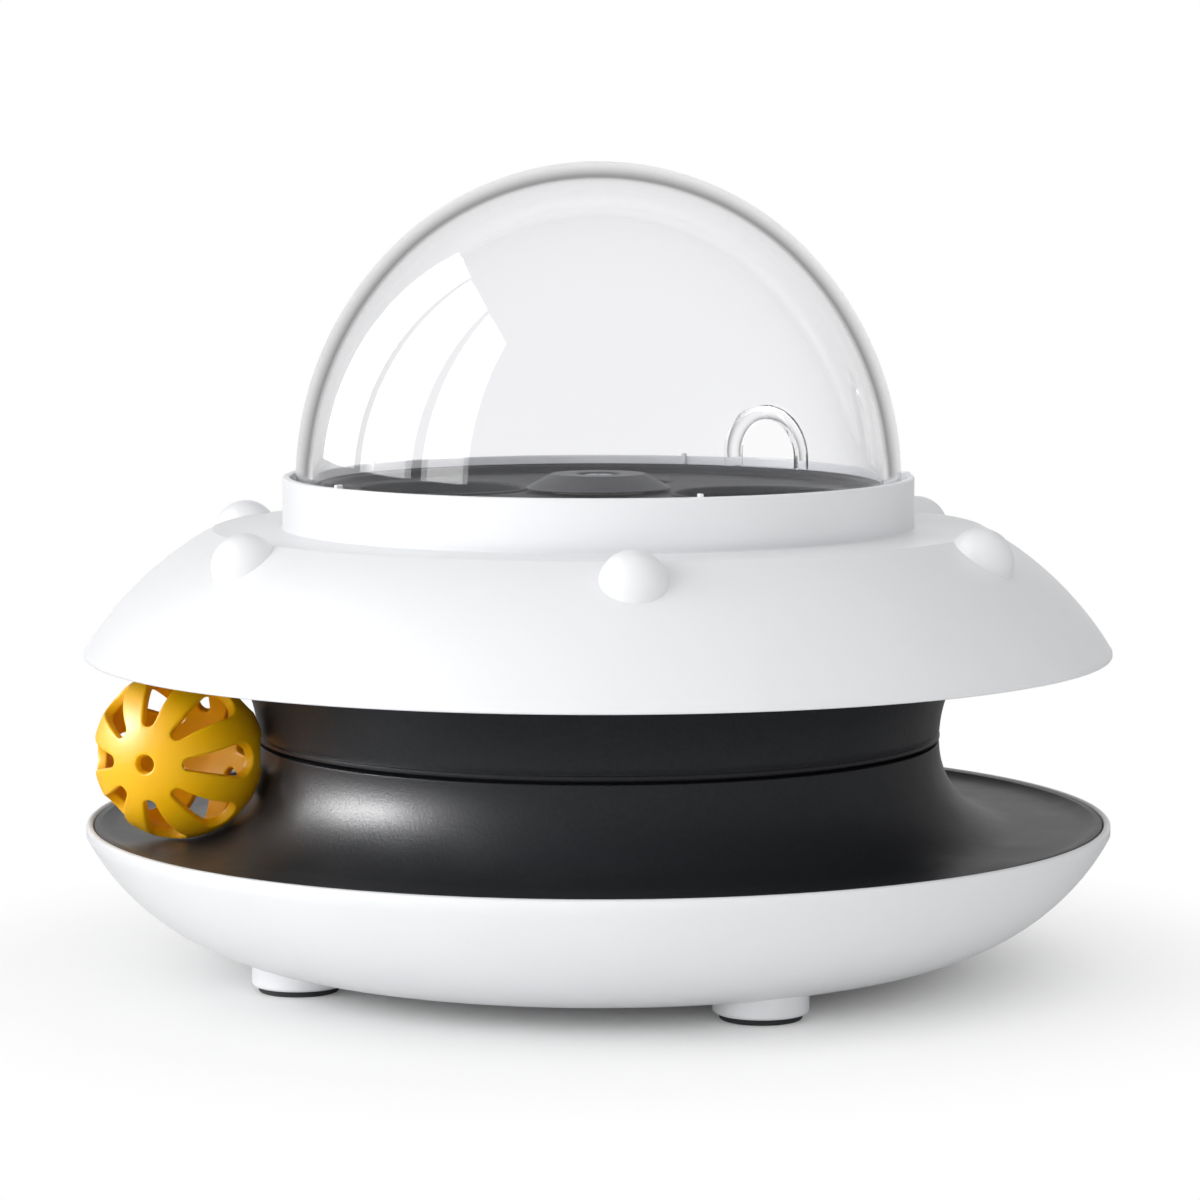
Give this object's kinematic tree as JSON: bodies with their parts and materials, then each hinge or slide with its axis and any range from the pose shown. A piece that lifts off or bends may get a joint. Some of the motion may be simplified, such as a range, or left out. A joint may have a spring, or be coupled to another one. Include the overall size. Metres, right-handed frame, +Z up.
{
  "type": "cat treat dispenser toy",
  "caption": "Saucer-shaped cat toy: a spinning top with domed bumps and a clear lift-off treat dome over a ball-track base on rubber feet.",
  "frame": {"origin": "on the ground under the middle of the base, at the level of the rubber pads' lower faces", "axes": "+Z up along the spin axis, -Y is the front of the picture, +X is the picture's right"},
  "size_m": [0.24, 0.24, 0.1885],
  "materials": {
    "white_shell": "satin moulded white ABS",
    "black_plastic": "fine-grained satin black",
    "foot_rubber": "matte black rubber",
    "screw_steel": "zinc plated",
    "bearing_plastic": "natural acetal",
    "clear_dome": "clear polished",
    "ball_yellow": "satin yellow"
  },
  "bodies": {
    "base": {"base_bowl": "white_shell", "foot_pad_front_right": "foot_rubber", "foot_pad_rear_right": "foot_rubber", "foot_pad_rear_left": "foot_rubber", "foot_pad_front_left": "foot_rubber", "track_tray": "black_plastic", "tray_screws": "screw_steel", "spindle": "bearing_plastic", "spindle_screws": "screw_steel", "thrust_washer": "bearing_plastic", "slip_washer": "bearing_plastic", "hub_cap": "black_plastic", "hub_screw": "screw_steel"},
    "top": {"neck_hood": "black_plastic", "lower_bush": "bearing_plastic", "upper_bush": "bearing_plastic", "saucer_cover": "white_shell", "neck_screws": "screw_steel", "treat_floor": "black_plastic", "floor_screws": "screw_steel"},
    "dome": {"dome": "clear_dome"},
    "ball": {"play_ball": "ball_yellow"}
  },
  "joints": [
    {"name": "top_spin", "type": "hinge", "parent": "base", "child": "top", "pos_m": [0, 0, 0.0581], "axis": [0, 0, 1], "continuous": true},
    {"name": "dome_lift", "type": "slide", "parent": "top", "child": "dome", "axis": [0, 0, 1], "range_m": [0, 0.09]},
    {"name": "ball_orbit", "type": "hinge", "parent": "base", "child": "ball", "pos_m": [0, 0, 0.0534], "axis": [0, 0, 1], "continuous": true}
  ]
}
